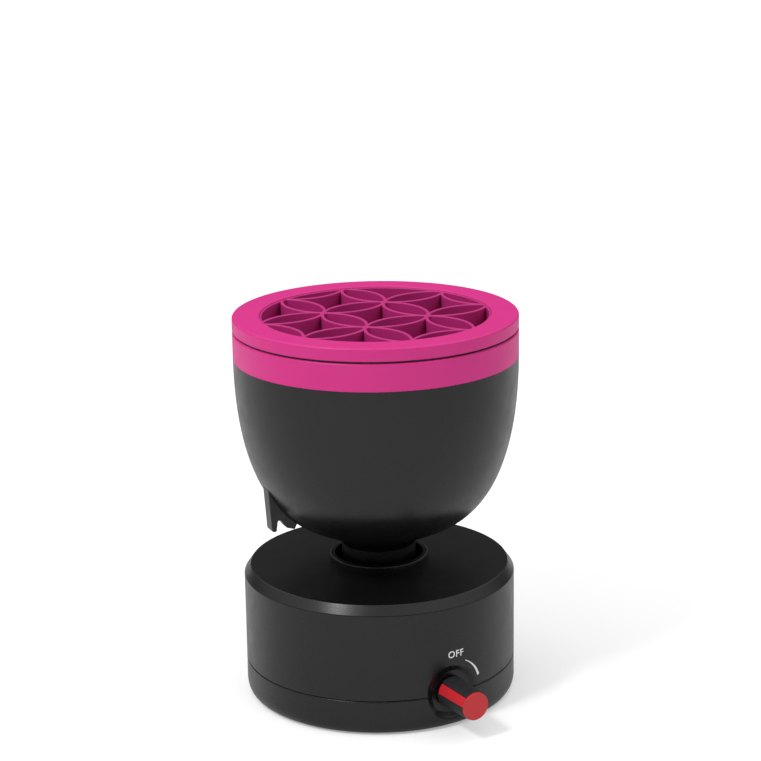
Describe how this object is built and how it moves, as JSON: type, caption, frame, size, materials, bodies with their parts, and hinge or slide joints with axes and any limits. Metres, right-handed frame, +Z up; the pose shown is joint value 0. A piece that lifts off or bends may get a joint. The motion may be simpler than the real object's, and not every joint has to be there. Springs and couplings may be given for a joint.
{
  "type": "brush cleaner",
  "caption": "Tabletop electric make-up brush cleaner: round motor base with a speed knob, lift-off turning bowl and a petal-grid rack as its lid.",
  "frame": {"origin": "middle of the non-slip pad's underside, on the surface the cleaner stands on", "axes": "+Z up through the bowl's centre line; -Y is the front; the knob stands 32 degrees to the right of the front, towards +X"},
  "size_m": [0.125, 0.1328, 0.1727],
  "materials": {
    "black_abs": "satin moulded",
    "pad_rubber": "matt",
    "zinc_steel": "bright zinc",
    "grey_nylon": "matt moulded",
    "motor_steel": "drawn, nickel plated",
    "black_nylon": "matt moulded",
    "bright_steel": "ground",
    "brass": "machined",
    "white_acetal": "matt moulded",
    "bronze": "sintered",
    "black_rubber": "matt",
    "magenta_abs": "satin moulded",
    "magenta_soft": "satin moulded",
    "mat_silicone": "matt",
    "black_knob": "satin moulded",
    "red_abs": "satin moulded",
    "cell_wrap": "shrink sleeve",
    "board_green": "solder mask",
    "component_black": "moulded",
    "wire_red": "smooth"
  },
  "bodies": {
    "base": {"base_housing": "black_abs", "base_bottom_cover": "black_abs", "anti_slip_pad": "pad_rubber", "cover_screws": "zinc_steel", "motor_plate": "grey_nylon", "plate_screws": "zinc_steel", "motor_can": "motor_steel", "motor_end_cap": "black_nylon", "motor_screws": "zinc_steel", "lower_bush": "bronze", "upper_bush": "bronze", "shaft_seal": "black_rubber", "battery_cell": "cell_wrap", "battery_holder": "black_nylon", "battery_contacts": "zinc_steel", "control_board": "board_green", "board_components": "component_black", "charging_socket": "bright_steel", "rotary_switch": "motor_steel", "switch_nut": "zinc_steel", "motor_leads": "wire_red", "battery_leads": "wire_red", "switch_leads": "wire_red"},
    "spindle": {"drive_shaft": "bright_steel", "drive_gear": "white_acetal", "shaft_clip": "zinc_steel", "drive_hub": "grey_nylon"},
    "pinion": {"motor_shaft": "bright_steel", "motor_pinion": "brass"},
    "knob": {"knob_body": "black_knob", "knob_marker": "red_abs", "switch_shaft": "bright_steel"},
    "bowl": {"bowl_shell": "black_abs", "drive_socket": "black_nylon", "collar_ring": "magenta_abs"},
    "mat": {"scrub_mat": "mat_silicone"},
    "rack": {"rack_rim": "magenta_abs", "petal_grid": "magenta_soft", "rim_seal": "black_rubber"}
  },
  "joints": [
    {"name": "spindle_spin", "type": "hinge", "parent": "base", "child": "spindle", "pos_m": [0, 0, 0.05], "axis": [0, 0, 1], "continuous": true},
    {"name": "pinion_spin", "type": "hinge", "parent": "base", "child": "pinion", "pos_m": [-0.03, 0, 0.044], "axis": [0, 0, 1], "continuous": true},
    {"name": "knob_turn", "type": "hinge", "parent": "base", "child": "knob", "pos_m": [0.02998, -0.04989, 0.0162], "axis": [0.515, -0.8572, 0], "range_deg": [-126, 0]},
    {"name": "bowl_lift", "type": "slide", "parent": "spindle", "child": "bowl", "axis": [0, 0, 1], "range_m": [0, 0.05]},
    {"name": "mat_lift", "type": "slide", "parent": "bowl", "child": "mat", "axis": [0, 0, 1], "range_m": [0, 0.05]},
    {"name": "rack_lift", "type": "slide", "parent": "bowl", "child": "rack", "axis": [0, 0, 1], "range_m": [0, 0.06]}
  ],
  "couplings": [
    {"joint": "pinion_spin", "follows": "spindle_spin", "ratio": -3}
  ]
}
